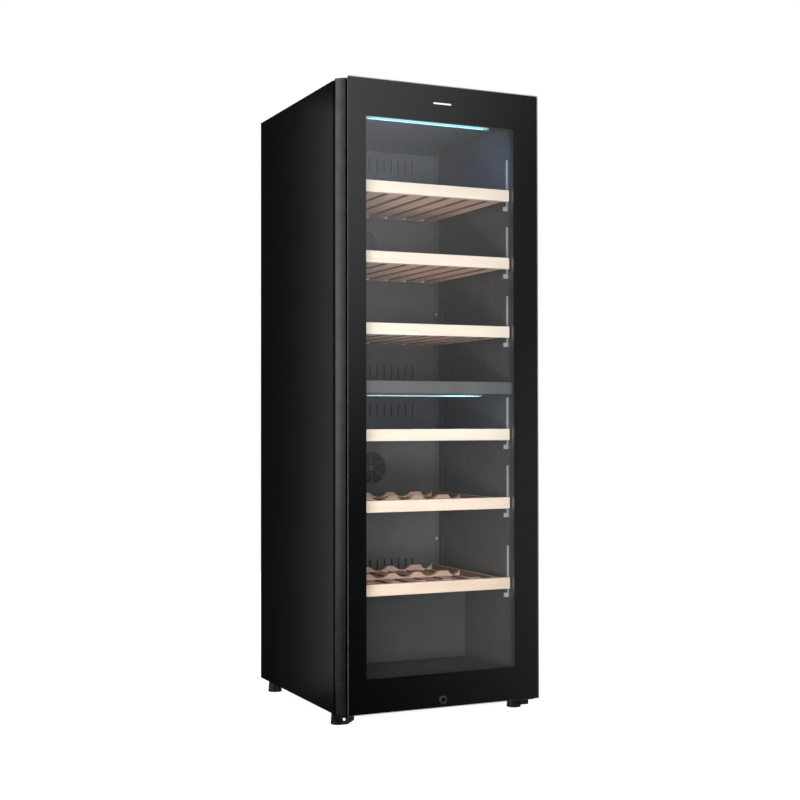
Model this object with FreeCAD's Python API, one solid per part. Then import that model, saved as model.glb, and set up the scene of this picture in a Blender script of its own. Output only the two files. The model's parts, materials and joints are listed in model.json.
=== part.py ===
"""Dual-zone wine cooler: an upright glass-door cabinet with six pull-out wooden shelves.

Millimetres. X runs to the right of someone facing the door, Y runs backwards and Z upwards from
the floor. The shapes are drawn with Y measured back from the face of the door glass. save() then
moves them all forward, so that the origin is under the middle of the whole appliance.
"""
import FreeCAD, Part
import math
import os

V = FreeCAD.Vector

# ---- driving dimensions -------------------------------------------------------------------
# cabinet
HALF_WIDTH = 297.5          # half of the 595 mm housing width
CABINET_FRONT = 52.5
CABINET_BACK = 635.0
CABINET_BOTTOM = 35.0
CABINET_TOP = 1711.0
SHEET = 0.8                 # steel sheet of the housing
BACK_SHEET = 0.6
RETURN_SIDE = 37.5          # width of the folded front edge at the sides
RETURN_TOP = 43.0
RETURN_BOTTOM = 58.0
WALL_SPACER_REACH = 20.0    # how far the rear spacers keep the cabinet off a wall

# insulated cavity
CAVITY_HALF = 250.0
CAVITY_BACK = 590.0
CAVITY_FLOOR = 104.0
CAVITY_CEILING = 1636.0
LINER = 1.6
LINER_FRONT = 53.4
LINER_FLANGE = 38.0         # how far the liner's front flange runs outwards
STEP_FRONT = 355.0          # the cavity floor steps up over the machine room
STEP_TOP = 321.0
DUCT_FRONT = 547.0          # face of the air duct covers
DUCT_WALL = 3.0
BEAD_WIDTH = 6.0            # slanted bead in the upright corners of the duct covers
BEAD_DEPTH = 19.0

# divider between the two temperature zones
DIVIDER_BOTTOM = 882.0
DIVIDER_TOP = 916.0
DIVIDER_FRONT = 60.0

# machine room at the foot of the back
MACHINE_FRONT = 398.0
MACHINE_TOP = 277.8
MACHINE_PLATE = 40.0

# door
DOOR_BOTTOM = 36.0
DOOR_TOP = 1715.0
GLASS = 4.0
GLASS_LEFT = -276.7
INNER_PANE_FRONT = 16.4
INNER_PANE_HALF = 243.0
INNER_PANE_BOTTOM = 108.5
INNER_PANE_TOP = 1634.5
FRAME_FRONT = 4.4
FRAME_BACK = 40.0
FRAME_LEFT = -262.0
FRAME_BOTTOM = 36.5
FRAME_TOP = 1710.5
GASKET_BACK = 52.2
HINGE_X = 285.5
HINGE_Y = 25.0
HINGE_PIN_R = 4.0
RUNNING_GAP = 0.05          # radial clearance of the running fits
LOCK_Z = 57.0

# shelves
SHELF_TOPS = [1458.0, 1267.0, 1073.0, 784.5, 592.0, 367.0]
FASCIA_HEIGHT = 32.0
FASCIA_FRONT = 70.0
FASCIA_BACK = 88.0
FASCIA_HALF = 245.0
RACK_HALF = 231.0
RACK_BACK = 533.0
RACK_DEPTH = 31.0           # from a shelf's top down to the underside of its slats
SEAT_DEPTH = 18.0           # and down to their upper side
CRADLE_THICKNESS = 14.0
SIDE_BOARD = 12.0
SLAT_PITCH = 62.0
SLAT_WIDTH = 44.0
BOTTLE_PITCH = 80.0
BOTTLE_R = 39.0
RAIL_FRONT = 89.0
RAIL_BACK = 536.0
BRACKET_DROP = 57.0         # how far the brackets reach below and above a shelf's top
BRACKET_RISE = 88.0

# circulation and condenser fans: centre X, front face Y, centre Z, half side of the frame
UPPER_FAN = (0.0, 551.0, 1346.0, 56.0)
LOWER_FAN = (29.0, 551.0, 664.0, 56.0)
CONDENSER_FAN = (-155.0, 520.0, 150.0, 62.0)
FAN_DEPTH = 25.0
FAN_BLADES = 7

GRILLE_MARGIN = 7.0         # from the side of a circulation fan to the edge of its grille
FIN_HALF_HEIGHT = 88.0

# compressor
COMPRESSOR_X = 150.0
COMPRESSOR_Y = 515.0
COMPRESSOR_R = 60.0

# brackets and levelling feet
LEFT_BRACKET_FRONT = 8.0
FOOT_X = 268.0
FOOT_FRONT_Y = 92.0
FOOT_REAR_Y = 590.0
FOOT_R = 20.0
FOOT_PAD = 4.0
FOOT_SHOULDER = 31.0
STUD_R = 4.0
STUD_TOP = 58.0
SLEEVE_R = 8.0
SLEEVE_TOP = 62.0

LOCK_BEZEL = 1.2            # the lock's ring is the frontmost thing on the door
ORIGIN_Y = (CABINET_BACK + WALL_SPACER_REACH - LOCK_BEZEL) / 2


# ---- shape helpers ------------------------------------------------------------------------
def box(x0, x1, y0, y1, z0, z1):
    return Part.makeBox(x1 - x0, y1 - y0, z1 - z0, V(x0, y0, z0))


def rod_x(y, z, radius, x0, x1):
    return Part.makeCylinder(radius, x1 - x0, V(x0, y, z), V(1, 0, 0))


def rod_y(x, z, radius, y0, y1):
    return Part.makeCylinder(radius, y1 - y0, V(x, y0, z), V(0, 1, 0))


def rod_z(x, y, radius, z0, z1):
    return Part.makeCylinder(radius, z1 - z0, V(x, y, z0), V(0, 0, 1))


def tube_y(x, z, outer, inner, y0, y1):
    return rod_y(x, z, outer, y0, y1).cut(rod_y(x, z, inner, y0 - 1, y1 + 1))


def tube_z(x, y, outer, inner, z0, z1):
    return rod_z(x, y, outer, z0, z1).cut(rod_z(x, y, inner, z0 - 1, z1 + 1))


def fused(shapes):
    return shapes[0].multiFuse(shapes[1:]).removeSplitter()


def plate_outline(points, z0, z1):
    """A flat plate with straight edges, from its (x, y) corners."""
    corners = [V(x, y, z0) for x, y in points]
    face = Part.Face(Part.makePolygon(corners + corners[:1]))
    return face.extrude(V(0, 0, z1 - z0))


def edges_along(shape, direction, keep):
    """Straight edges parallel to a direction whose middle satisfies keep(x, y, z)."""
    found = []
    for edge in shape.Edges:
        if not isinstance(edge.Curve, Part.Line):
            continue
        if abs(abs(edge.Curve.Direction.dot(direction)) - 1) > 1e-6:
            continue
        middle = edge.CenterOfMass
        if keep(middle.x, middle.y, middle.z):
            found.append(edge)
    return found


def save(node, *solids):
    """Write one node's solids to its own STEP file, in the appliance's frame."""
    shape = solids[0] if len(solids) == 1 else Part.makeCompound(list(solids))
    shape = shape.copy()
    shape.translate(V(0, -ORIGIN_Y, 0))
    for solid in shape.Solids:
        if not solid.isValid() or solid.Volume <= 0:
            raise ValueError(f"{node} has a broken solid")
    shape.exportStep(f"parts/{node}.step")


# ---- cabinet ------------------------------------------------------------------------------
def outer_shell():
    """Sides and top folded from one sheet, with a front edge turned in all round."""
    shell_back = CABINET_BACK - BACK_SHEET
    wrap = box(-HALF_WIDTH, HALF_WIDTH, CABINET_FRONT, shell_back, CABINET_BOTTOM, CABINET_TOP)
    inside = HALF_WIDTH - SHEET
    wrap = wrap.cut(
        box(-inside, inside, CABINET_FRONT + SHEET, shell_back + 1, CABINET_BOTTOM - 1, CABINET_TOP - SHEET)
    )
    mouth = HALF_WIDTH - RETURN_SIDE
    low = CABINET_BOTTOM + RETURN_BOTTOM
    high = CABINET_TOP - RETURN_TOP
    wrap = wrap.cut(box(-mouth, mouth, CABINET_FRONT - 1, CABINET_FRONT + SHEET + 1, low, high))
    top_edges = edges_along(
        wrap, V(0, 1, 0), lambda x, y, z: abs(x) > HALF_WIDTH - 0.1 and z > CABINET_TOP - 0.1
    )
    return wrap.makeFillet(1.5, top_edges)


def rear_panel():
    """Thin back sheet with pressed stiffening ribs."""
    back = CABINET_BACK
    low = MACHINE_TOP + SHEET + 0.1
    sheet = box(-HALF_WIDTH, HALF_WIDTH, back - BACK_SHEET, back, low, CABINET_TOP)
    ribs = []
    for level in (520.0, 760.0, 1000.0, 1240.0, 1480.0):
        ribs.append(box(-230, 230, back, back + 2.5, level - 6, level + 6))
    return fused([sheet] + ribs)


def base_pan():
    """Floor sheet, the step around the machine room, the compressor plate and the foot sleeves."""
    half = HALF_WIDTH - SHEET
    step_back = CABINET_BACK - 1
    low = CABINET_BOTTOM
    pieces = [
        box(-half, half, LINER_FRONT, MACHINE_FRONT, low, low + SHEET),
        box(-half, half, MACHINE_FRONT - SHEET, MACHINE_FRONT, low, MACHINE_TOP + SHEET),
        box(-half, half, MACHINE_FRONT - SHEET, step_back, MACHINE_TOP, MACHINE_TOP + SHEET),
        box(-half, half, MACHINE_FRONT - SHEET, step_back, MACHINE_PLATE, MACHINE_PLATE + 1.5),
    ]
    for x in (-FOOT_X, FOOT_X):
        for y in (FOOT_FRONT_Y, FOOT_REAR_Y):
            pieces.append(rod_z(x, y, SLEEVE_R, low, SLEEVE_TOP))
    pan = fused(pieces)
    cuts = []
    for x in (-FOOT_X, FOOT_X):
        for y in (FOOT_FRONT_Y, FOOT_REAR_Y):
            cuts.append(rod_z(x, y, STUD_R + RUNNING_GAP, low - 1, SLEEVE_TOP + 1))
    for i in range(9):
        x = -230.0 + i * 24
        cuts.append(box(x, x + 8, 440, 600, MACHINE_PLATE - 1, MACHINE_PLATE + 3))
    return pan.cut(cuts)


def cavity(growth):
    """The insulated space: a tall box whose floor steps up at the back, grown by a wall."""
    half = CAVITY_HALF + growth
    back = CAVITY_BACK + growth
    top = CAVITY_CEILING + growth
    tall = box(-half, half, LINER_FRONT + LINER, back, CAVITY_FLOOR - growth, top)
    step = box(
        -half - 1, half + 1, STEP_FRONT + growth, back + 1, CAVITY_FLOOR - growth - 1, STEP_TOP - growth
    )
    return tall.cut(step)


def inner_liner():
    """Moulded tub with a flange that tucks behind the housing's front edge."""
    front = LINER_FRONT
    wide = CAVITY_HALF + LINER_FLANGE
    flange = box(-wide, wide, front, front + LINER, CAVITY_FLOOR - 30, CAVITY_CEILING + 58)
    mouth = box(-CAVITY_HALF, CAVITY_HALF, front - 1, front + LINER + 1, CAVITY_FLOOR, CAVITY_CEILING)
    return fused([flange, cavity(LINER)]).cut([mouth, cavity(0)])


def insulation_foam():
    """Foam poured between the housing and the liner."""
    half = HALF_WIDTH - SHEET
    back = CABINET_BACK - BACK_SHEET
    block = box(
        -half, half, LINER_FRONT + LINER, back, CABINET_BOTTOM + SHEET, CABINET_TOP - SHEET
    )
    machine_room = box(
        -half - 1, half + 1, MACHINE_FRONT - SHEET, back + 1, CABINET_BOTTOM, MACHINE_TOP + SHEET
    )
    sleeves = [rod_z(x, FOOT_FRONT_Y, SLEEVE_R, CABINET_BOTTOM, SLEEVE_TOP) for x in (-FOOT_X, FOOT_X)]
    return block.cut([cavity(LINER), machine_room] + sleeves)


def zone_divider():
    """Insulated bar across the cavity that keeps the two temperature zones apart."""
    gap = 0.2
    bar = box(
        -CAVITY_HALF + gap, CAVITY_HALF - gap, DIVIDER_FRONT, CAVITY_BACK - gap, DIVIDER_BOTTOM, DIVIDER_TOP
    )
    front_edges = edges_along(bar, V(1, 0, 0), lambda x, y, z: y < DIVIDER_FRONT + 0.1)
    bar = bar.makeFillet(2.5, front_edges)
    return bar.cut(control_panel_block(DIVIDER_FRONT - 1))


def control_panel_block(front):
    middle = (DIVIDER_BOTTOM + DIVIDER_TOP) / 2
    return box(-240, -200, front, DIVIDER_FRONT + 2, middle - 12, middle + 12)


def light_bars():
    """The two light strips: one under the ceiling and one under the divider."""
    upper_seat = CAVITY_CEILING - 3
    lower_seat = DIVIDER_BOTTOM - 5
    upper_housing = box(-205, 205, 85, 105, upper_seat, CAVITY_CEILING)
    upper_lens = box(-190, 190, 88, 98, upper_seat - 5, upper_seat)
    lower_housing = box(-210, 162, 72, 88, lower_seat, DIVIDER_BOTTOM)
    lower_lens = box(-206, 156, 74, 86, lower_seat - 2, lower_seat)
    return [upper_housing, lower_housing], [upper_lens, lower_lens]


def ring_grille(x, z, radius, y0, y1):
    """Concentric rings joined by six spokes."""
    parts = [rod_y(x, z, 9.0, y0, y1)]
    ring = 15.0
    while ring < radius:
        parts.append(tube_y(x, z, ring + 2.5, ring, y0, y1))
        ring += 7.5
    for i in range(3):
        bar = box(-radius - 1, radius + 1, y0, y1, -1.2, 1.2)
        bar.rotate(V(0, 0, 0), V(0, 1, 0), 60 * i + 30)
        bar.translate(V(x, 0, z))
        parts.append(bar)
    return parts


def duct_cover(bottom, top, fan):
    """Back wall panel of one zone, with the fan grille and its air slots moulded in."""
    half = CAVITY_HALF - 0.3
    front = DUCT_FRONT
    back = front + DUCT_WALL
    x, _, z, fan_half = fan
    mouth = fan_half - GRILLE_MARGIN
    panel = box(-half, half, front, back, bottom, top)
    sides = [
        box(-half, -half + DUCT_WALL, front, CAVITY_BACK - 0.3, bottom, top),
        box(half - DUCT_WALL, half, front, CAVITY_BACK - 0.3, bottom, top),
    ]
    beads = []
    for side in (-1, 1):
        wall = side * half
        outline = [(wall - side * BEAD_WIDTH, front), (wall, front), (wall, front - BEAD_DEPTH)]
        beads.append(plate_outline(outline, bottom, top))
    collar = rod_y(x, z, mouth + 4, front - 2, back)
    panel = fused([panel, collar] + sides + beads)
    slots = [rod_y(x, z, mouth, front - 3, back + 1)]
    for i in range(15):
        slot_x = (i - 7) * 24.0
        slots.append(box(slot_x - 2.5, slot_x + 2.5, front - 1, back + 1, top - 62, top - 22))
        slots.append(box(slot_x - 2.5, slot_x + 2.5, front - 1, back + 1, bottom + 22, bottom + 62))
    return fused([panel.cut(slots)] + ring_grille(x, z, mouth, front - 1, back - 0.5))


def fan_frame(fan):
    """Square fan frame with a motor seat on four arms at its back."""
    x, y, z, half = fan
    back = y + FAN_DEPTH
    body = box(x - half, x + half, y, back, z - half, z + half).cut(rod_y(x, z, half - 6, y - 1, back + 1))
    arms = [
        box(x - half + 3, x + half - 3, back - 3, back, z - 4, z + 4),
        box(x - 4, x + 4, back - 3, back, z - half + 3, z + half - 3),
        rod_y(x, z, 18, back - 3, back),
    ]
    return fused([body] + arms).cut(rod_y(x, z, 2.5 + RUNNING_GAP, back - 4, back + 1))


def fan_rotor(fan):
    """Hub with pitched blades on a short spindle that turns in the frame's seat."""
    x, y, z, half = fan
    hub_front = y + 2
    hub_back = y + FAN_DEPTH - 5
    middle = (hub_front + hub_back) / 2
    reach = half - 9
    pieces = [rod_y(0, 0, 18, hub_front, hub_back), rod_y(0, 0, 2.5, hub_back - 1, y + FAN_DEPTH - 0.5)]
    for i in range(FAN_BLADES):
        blade = box(14, reach, -0.9, 0.9, -11, 11)
        blade.rotate(V(0, 0, 0), V(1, 0, 0), 52)
        blade.translate(V(0, middle, 0))
        blade.rotate(V(0, 0, 0), V(0, 1, 0), 360 * i / FAN_BLADES)
        pieces.append(blade)
    rotor = fused(pieces)
    rotor.translate(V(x, 0, z))
    return rotor


def serpentine(x0, x1, y, levels, radius, lead=None):
    """A tube that runs to and fro along X, climbing through the given levels."""
    edges = []
    if lead:
        edges += lead
    for i, level in enumerate(levels):
        leftwards = i % 2 == 0
        start, end = (x1, x0) if leftwards else (x0, x1)
        edges.append(Part.LineSegment(V(start, y, level), V(end, y, level)).toShape())
        if i + 1 < len(levels):
            rise = levels[i + 1] - level
            side = -1 if leftwards else 1
            bend_middle = V(end + side * rise / 2, y, level + rise / 2)
            edges.append(Part.Arc(V(end, y, level), bend_middle, V(end, y, level + rise)).toShape())
    path = Part.Wire(Part.__sortEdges__(edges))
    first = edges[0]
    direction = first.tangentAt(first.FirstParameter)
    circle = Part.Wire(Part.makeCircle(radius, first.valueAt(first.FirstParameter), direction))
    return path.makePipeShell([circle], True, False)


def evaporator(middle_z):
    """Cooling coil behind a duct cover: a serpentine tube held by five fins."""
    y = (DUCT_FRONT + DUCT_WALL + CAVITY_BACK) / 2
    levels = [middle_z - 75 + 30 * i for i in range(6)]
    coil = serpentine(-165, 165, y, levels, 4.0)
    fins = []
    for i in range(5):
        x = -150 + 75 * i
        low = middle_z - FIN_HALF_HEIGHT
        fins.append(box(x - 0.6, x + 0.6, y - 13, y + 13, low, low + 2 * FIN_HALF_HEIGHT))
    return fused([coil] + fins)


# ---- shelf supports -----------------------------------------------------------------------
def shelf_brackets():
    """Upright strips on the side walls that carry each shelf's rails, front and back."""
    strips = []
    for top in SHELF_TOPS:
        low = top - BRACKET_DROP
        high = top + BRACKET_RISE
        for side in (-1, 1):
            wall = side * (CAVITY_HALF - 0.1)
            x0, x1 = sorted((side * 246.0, wall))
            toe_x0, toe_x1 = sorted((side * 236.0, wall))
            front = box(x0, x1, RAIL_FRONT - 3, RAIL_FRONT + 2, low, high)
            toe = box(toe_x0, toe_x1, RAIL_FRONT - 3, RAIL_FRONT + 2, low, low + 12)
            strips.append(fused([front, toe]))
            strips.append(box(x0, x1, 500, 510, max(low, STEP_TOP + 0.5), high))
    return strips


def channel(side, level):
    """One C-shaped rail, open towards the middle of the cabinet."""
    profile = []
    for x0, x1, z0, z1 in ((243.5, 246.0, -8, 8), (237.0, 243.6, 6.5, 8), (237.0, 243.6, -8, -6.5)):
        low, high = sorted((side * x0, side * x1))
        profile.append(box(low, high, RAIL_FRONT, RAIL_BACK, level + z0, level + z1))
    return fused(profile)


def fixed_rails():
    rails = []
    for top in SHELF_TOPS:
        for side in (-1, 1):
            rails.append(channel(side, top - 16))
    return rails


# ---- shelves ------------------------------------------------------------------------------
def shelf_front(top):
    """Wooden fascia with softened long edges."""
    board = box(
        -FASCIA_HALF, FASCIA_HALF, FASCIA_FRONT, FASCIA_BACK, top - FASCIA_HEIGHT, top
    )
    edges = edges_along(board, V(1, 0, 0), lambda x, y, z: y < FASCIA_FRONT + 0.1)
    return board.makeFillet(2.0, edges)


def shelf_rack(top):
    """Slats from front to back, tied by side boards and three scalloped bottle cradles."""
    low = top - RACK_DEPTH
    seat = top - SEAT_DEPTH
    pieces = []
    for i in range(8):
        middle = (i - 3.5) * SLAT_PITCH
        x0 = max(middle - SLAT_WIDTH / 2, -RACK_HALF)
        x1 = min(middle + SLAT_WIDTH / 2, RACK_HALF)
        pieces.append(box(x0, x1, FASCIA_BACK, RACK_BACK, low, seat))
    for side in (-1, 1):
        x0, x1 = sorted((side * (RACK_HALF - SIDE_BOARD), side * RACK_HALF))
        pieces.append(box(x0, x1, FASCIA_BACK, RACK_BACK, low, top - 3))
    for y, foot in ((130.0, seat - 2), (330.0, seat - 2), (RACK_BACK - CRADLE_THICKNESS, low)):
        pieces.append(box(-RACK_HALF, RACK_HALF, y, y + CRADLE_THICKNESS, foot, top - 3))
    rack = fused(pieces)
    scallops = []
    for i in range(6):
        x = (i - 2.5) * BOTTLE_PITCH
        reach = min(BOTTLE_R, RACK_HALF - SIDE_BOARD - 0.5 - abs(x))
        z = top - 16 + reach
        scallops.append(rod_y(x, z, reach, FASCIA_BACK + 1, RACK_BACK + 1))
    return rack.cut(scallops)


def shelf_runners(top):
    """Steel slides on the rack's sides, each with a tongue inside its fixed rail."""
    level = top - 16
    runners = []
    for side in (-1, 1):
        low, high = sorted((side * RACK_HALF, side * 234.5))
        web = box(low, high, FASCIA_BACK, RACK_BACK, level - 7, level + 7)
        low, high = sorted((side * 234.4, side * 241.0))
        tongue = box(low, high, FASCIA_BACK + 4, RACK_BACK, level - 4, level + 4)
        runners.append(fused([web, tongue]))
    return runners


# ---- machine room -------------------------------------------------------------------------
def compressor():
    """Welded steel pot with a seam flange, a foot plate, a terminal box and a discharge stub."""
    x, y, r = COMPRESSOR_X, COMPRESSOR_Y, COMPRESSOR_R
    pot = rod_z(x, y, r, 62, 200)
    pot = pot.makeFillet(24, [e for e in pot.Edges if isinstance(e.Curve, Part.Circle)])
    seam = rod_z(x, y, r + 3, 129, 133)
    plate = box(x - 90, x + 90, y - 50, y + 50, 56, 59)
    neck = rod_z(x, y, 40, 58, 66)
    terminals = box(x + r - 12, x + r + 24, y - 20, y + 20, 95, 150)
    stub = rod_y(x - 35, 95, 5.5, 462, y)
    holes = [rod_z(x + i * 78, y + j * 38, 5, 50, 60) for i in (-1, 1) for j in (-1, 1)]
    return fused([pot, seam, plate, neck, terminals, stub]).cut(holes)


def compressor_grommets():
    x, y = COMPRESSOR_X, COMPRESSOR_Y
    low = MACHINE_PLATE + 1.5
    return [tube_z(x + i * 78, y + j * 38, 10, 4, low, 56) for i in (-1, 1) for j in (-1, 1)]


def drip_tray():
    """Open tray over the compressor where the melt water evaporates."""
    tray = box(75, 225, 440, 600, 214, 242)
    return tray.cut(box(77, 223, 442, 598, 216, 243))


def condenser_coil():
    """Hot-side serpentine with end plates and a drier, fed from the compressor's stub."""
    y = 450.0
    levels = [95 + 25 * i for i in range(6)]
    stub_x = COMPRESSOR_X - 35
    bend = 10.0
    corner = bend * (1 - math.sqrt(0.5))
    lead = [
        Part.LineSegment(V(stub_x, 462, 95), V(stub_x, y + bend, 95)).toShape(),
        Part.Arc(
            V(stub_x, y + bend, 95), V(stub_x - corner, y + corner, 95), V(stub_x - bend, y, 95)
        ).toShape(),
        Part.LineSegment(V(stub_x - bend, y, 95), V(-65, y, 95)).toShape(),
    ]
    coil = serpentine(-255, -65, y, levels, 3.5, lead)
    plates = [box(x, x + 1.5, y - 20, y + 20, 80, 234) for x in (-248.0, -74.0)]
    drier = rod_x(y, levels[-1], 9, -66, -4)
    return fused([coil, drier] + plates)


def machine_cover():
    """Louvred cover over the machine room's open back."""
    back = CABINET_BACK
    sheet = box(-294, 294, back - 1.5, back, 44, 277)
    slots = []
    for column in (-190.0, -60.0, 70.0):
        for row in range(10):
            z = 80 + 18 * row
            slots.append(box(column - 50, column + 50, back - 3, back + 1, z, z + 6))
    slots.append(box(216, 244, back - 3, back + 1, 60, 81))
    return sheet.cut(slots)


def power_inlet():
    """Three-pin appliance inlet in the machine cover."""
    x, z, back = 230.0, 70.5, CABINET_BACK
    body = box(x - 13.5, x + 13.5, back - 23, back + 0.5, z - 10, z + 10)
    flange = box(x - 24, x + 24, back, back + 2, z - 13, z + 13)
    shell = fused([body, flange]).cut(box(x - 12, x + 12, back - 16, back + 3, z - 8, z + 8))
    pins = [box(x + i * 7 - 1, x + i * 7 + 1, back - 17, back - 6, z + dz - 2, z + dz + 2)
            for i, dz in ((-1, -2), (0, 2), (1, -2))]
    return fused([shell] + pins)


# ---- door hardware on the cabinet ---------------------------------------------------------
def top_hinge():
    """Steel plate on the roof that reaches over the door and carries the upper pin."""
    z0 = CABINET_TOP
    z1 = z0 + 3
    pieces = [
        box(235, 293, CABINET_FRONT + 2, 110, z0, z1),
        box(269, 293, HINGE_Y, CABINET_FRONT + 3, z0, z1),
        rod_z(281, HINGE_Y, 12, z0, z1),
        rod_z(HINGE_X, HINGE_Y, HINGE_PIN_R, z0 - 13, z1),
    ]
    pieces += [rod_z(x, y, 4.5, z0 + 2, z0 + 4) for x, y in ((248.0, 68.0), (280.0, 68.0), (264.0, 98.0))]
    return fused(pieces)


def bottom_brackets():
    """Steel blocks under the front corners. The right one carries the door's lower pin."""
    low = CABINET_BOTTOM - 20
    profile = [(-293, CABINET_BOTTOM), (-257, CABINET_BOTTOM), (-257, low + 10), (-275, low), (-293, low)]
    corners = [V(x, LEFT_BRACKET_FRONT, z) for x, z in profile]
    block = Part.Face(Part.makePolygon(corners + corners[:1])).extrude(V(0, 54, 0))
    screw = rod_y(-286, CABINET_BOTTOM - 6, 3, LEFT_BRACKET_FRONT - 1.5, LEFT_BRACKET_FRONT + 1)
    plate = box(262, 293, 14, 68, CABINET_BOTTOM - 3, CABINET_BOTTOM)
    plate = plate.makeFillet(9, edges_along(plate, V(0, 0, 1), lambda x, y, z: y < 15))
    stop = box(262, 288, 44, 66, low - 2, CABINET_BOTTOM - 2)
    pin = rod_z(HINGE_X, HINGE_Y, HINGE_PIN_R, CABINET_BOTTOM - 3, CABINET_BOTTOM + 13)
    return [fused([block, screw]), fused([plate, stop, pin])]


def lock_strike():
    """Steel catch under the cabinet's front edge, with a lip that the lock's cam drops behind."""
    foot = box(-20, 20, FRAME_BACK + 1, 75, CABINET_BOTTOM - 2, CABINET_BOTTOM)
    lip = box(-20, 20, FRAME_BACK + 1, FRAME_BACK + 3.5, CABINET_BOTTOM - 1, LOCK_Z - 10)
    return fused([foot, lip])


def rear_spacers():
    back = CABINET_BACK
    reach = back + WALL_SPACER_REACH
    return [rod_y(x, z, 12, back, reach) for x in (-200.0, 200.0) for z in (400.0, 1600.0)]


def rear_screws():
    """Pan heads around the back sheet and the machine cover."""
    back = CABINET_BACK
    places = [(x, 300.0 + 274 * i) for x in (-286.0, 286.0) for i in range(6)]
    places += [(x, 1695.0) for x in (-143.0, 0.0, 143.0)]
    places += [(x, z) for x in (-286.0, 286.0) for z in (60.0, 260.0)]
    return [rod_y(x, z, 4, back, back + 2) for x, z in places]


def foot(x, y):
    """Levelling foot: a stout tapered pad on a threaded stud with a hexagon collar."""
    pad = rod_z(x, y, FOOT_R, 0, FOOT_PAD)
    taper = Part.makeCone(FOOT_R - 0.5, FOOT_R - 2, FOOT_SHOULDER - FOOT_PAD, V(x, y, FOOT_PAD), V(0, 0, 1))
    corners = [(x + 11 * math.cos(math.radians(60 * i)), y + 11 * math.sin(math.radians(60 * i)))
               for i in range(6)]
    collar = plate_outline(corners, FOOT_SHOULDER - 2, FOOT_SHOULDER + 3)
    stud = rod_z(x, y, STUD_R, FOOT_SHOULDER - 2, STUD_TOP)
    return fused([pad, taper, collar, stud])


# ---- door ---------------------------------------------------------------------------------
def door_glass_outer():
    """Front pane of the whole door, drilled for the lock."""
    pane = box(GLASS_LEFT, HALF_WIDTH, 0, GLASS, DOOR_BOTTOM, DOOR_TOP)
    pane = pane.makeFillet(3, edges_along(pane, V(0, 1, 0), lambda x, y, z: True))
    return pane.cut(rod_y(0, LOCK_Z, 9.6, -1, GLASS + 1))


def door_glass_inner():
    half = INNER_PANE_HALF
    front = INNER_PANE_FRONT
    return box(-half, half, front, front + GLASS, INNER_PANE_BOTTOM, INNER_PANE_TOP)


def glazing_spacer():
    """Bar that keeps the two panes apart all round."""
    half = INNER_PANE_HALF
    back = INNER_PANE_FRONT
    ring = box(-half, half, FRAME_FRONT, back, INNER_PANE_BOTTOM, INNER_PANE_TOP)
    inner = half - 15
    return ring.cut(
        box(-inner, inner, 0, back + 1, INNER_PANE_BOTTOM + 15, INNER_PANE_TOP - 15)
    )


def door_frame():
    """Moulded frame behind the glass, rebated for the inner pane and bored for hinges and lock."""
    body = box(FRAME_LEFT, HALF_WIDTH, FRAME_FRONT, FRAME_BACK, FRAME_BOTTOM, FRAME_TOP)
    half = INNER_PANE_HALF
    ledge = INNER_PANE_FRONT + GLASS
    rebate = box(-half, half, 0, ledge, INNER_PANE_BOTTOM, INNER_PANE_TOP)
    narrow = half - 14
    wide = half - 7
    low = INNER_PANE_BOTTOM
    high = INNER_PANE_TOP
    reveal = Part.makeWedge(
        -narrow, ledge - 0.01, low + 14, low + 7, -wide, narrow, FRAME_BACK + 0.01, high - 14, high - 7, wide
    )
    bores = [
        rod_y(0, LOCK_Z, 9.6, 0, FRAME_BACK + 1),
        rod_z(HINGE_X, HINGE_Y, 7, FRAME_BOTTOM - 1, FRAME_BOTTOM + 14),
        rod_z(HINGE_X, HINGE_Y, 7, FRAME_TOP - 14, FRAME_TOP + 1),
    ]
    return body.cut([rebate, reveal] + bores)


def handle_profile():
    """Full-height grip strip: the fingers go in behind the glass edge, onto a slanted face."""
    edge = -HALF_WIDTH
    z0 = FRAME_BOTTOM
    shoulder = V(edge, 34.5, z0)
    nose = V(GLASS_LEFT, 17, z0)
    bulge = V(-288.0, 24.8, z0)
    corners = [nose, V(-266, 17, z0), V(-266, FRAME_FRONT, z0), V(FRAME_LEFT, FRAME_FRONT, z0),
               V(FRAME_LEFT, FRAME_BACK, z0), V(edge, FRAME_BACK, z0), shoulder]
    edges = [Part.LineSegment(a, b).toShape() for a, b in zip(corners, corners[1:])]
    edges.append(Part.Arc(shoulder, bulge, nose).toShape())
    face = Part.Face(Part.Wire(Part.__sortEdges__(edges)))
    return face.extrude(V(0, 0, FRAME_TOP + 1.5 - z0))


def ring_frame(outer_x, outer_low, outer_high, width, y0, y1):
    ring = box(-outer_x, outer_x, y0, y1, outer_low, outer_high)
    inner_x = outer_x - width
    return ring.cut(box(-inner_x, inner_x, y0 - 1, y1 + 1, outer_low + width, outer_high - width))


def door_gasket():
    """Magnetic seal: a clipped-in foot and a narrower bellows."""
    foot_ring = ring_frame(284, 68, 1693, 18, FRAME_BACK, FRAME_BACK + 4)
    bellows = ring_frame(282, 70, 1691, 14, FRAME_BACK + 3.5, GASKET_BACK)
    return fused([foot_ring, bellows])


def lock_housing():
    """Barrel through glass and frame, with the ring that shows on the door's face."""
    bore = rod_y(0, LOCK_Z, 6 + RUNNING_GAP, -2, FRAME_BACK + 2)
    ring = rod_y(0, LOCK_Z, 10.8, -LOCK_BEZEL, 0)
    barrel = rod_y(0, LOCK_Z, 9.5, -0.5, FRAME_BACK)
    return fused([ring, barrel]).cut(bore)


def lock_plug():
    """Turning plug with a keyway in front and the cam behind the door."""
    plug = rod_y(0, LOCK_Z, 6, -0.8, 46)
    cam = box(-5, 16, 45, 48, LOCK_Z - 5, LOCK_Z + 5)
    keyway = box(-0.8, 0.8, -2, 4, LOCK_Z - 3.6, LOCK_Z + 3.6)
    return fused([plug, cam]).cut(keyway)


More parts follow.
